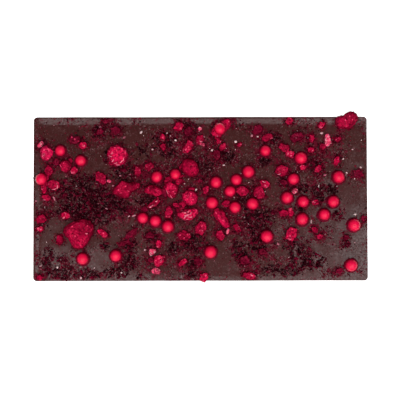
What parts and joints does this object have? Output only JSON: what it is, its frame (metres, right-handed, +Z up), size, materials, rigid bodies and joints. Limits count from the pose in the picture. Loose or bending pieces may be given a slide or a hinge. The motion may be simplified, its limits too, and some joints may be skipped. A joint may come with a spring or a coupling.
{
  "type": "dark chocolate bar with berry pieces",
  "caption": "Flat rectangular dark chocolate bar with a low rim, its poured side strewn with freeze-dried berry pieces and red sugar pearls.",
  "frame": {"origin": "middle of the flat underside that the bar rests on", "axes": "+X along the bar's length to the right, +Y across it to the far edge, +Z up out of the poured side"},
  "size_m": [0.154, 0.0785, 0.0128],
  "materials": {
    "dark_chocolate": "satin dark brown chocolate with a soft sheen",
    "dried_berry": "dry matte crimson freeze-dried fruit",
    "sugar_pearl": "smooth satin red sugar coating"
  },
  "bodies": {
    "root": {"chocolate_bar": "dark_chocolate", "berry_piece_heart": "dried_berry", "berry_piece_edge": "dried_berry", "berry_piece_curled": "dried_berry", "berry_piece_peaked": "dried_berry", "berry_piece_smooth": "dried_berry", "berry_piece_tall": "dried_berry", "berry_piece_knobbly": "dried_berry", "berry_piece_split": "dried_berry", "berry_piece_long": "dried_berry", "berry_piece_dark": "dried_berry", "berry_piece_under_pearl": "dried_berry", "berry_piece_veined": "dried_berry", "berry_piece_left": "dried_berry"}
  },
  "joints": []
}
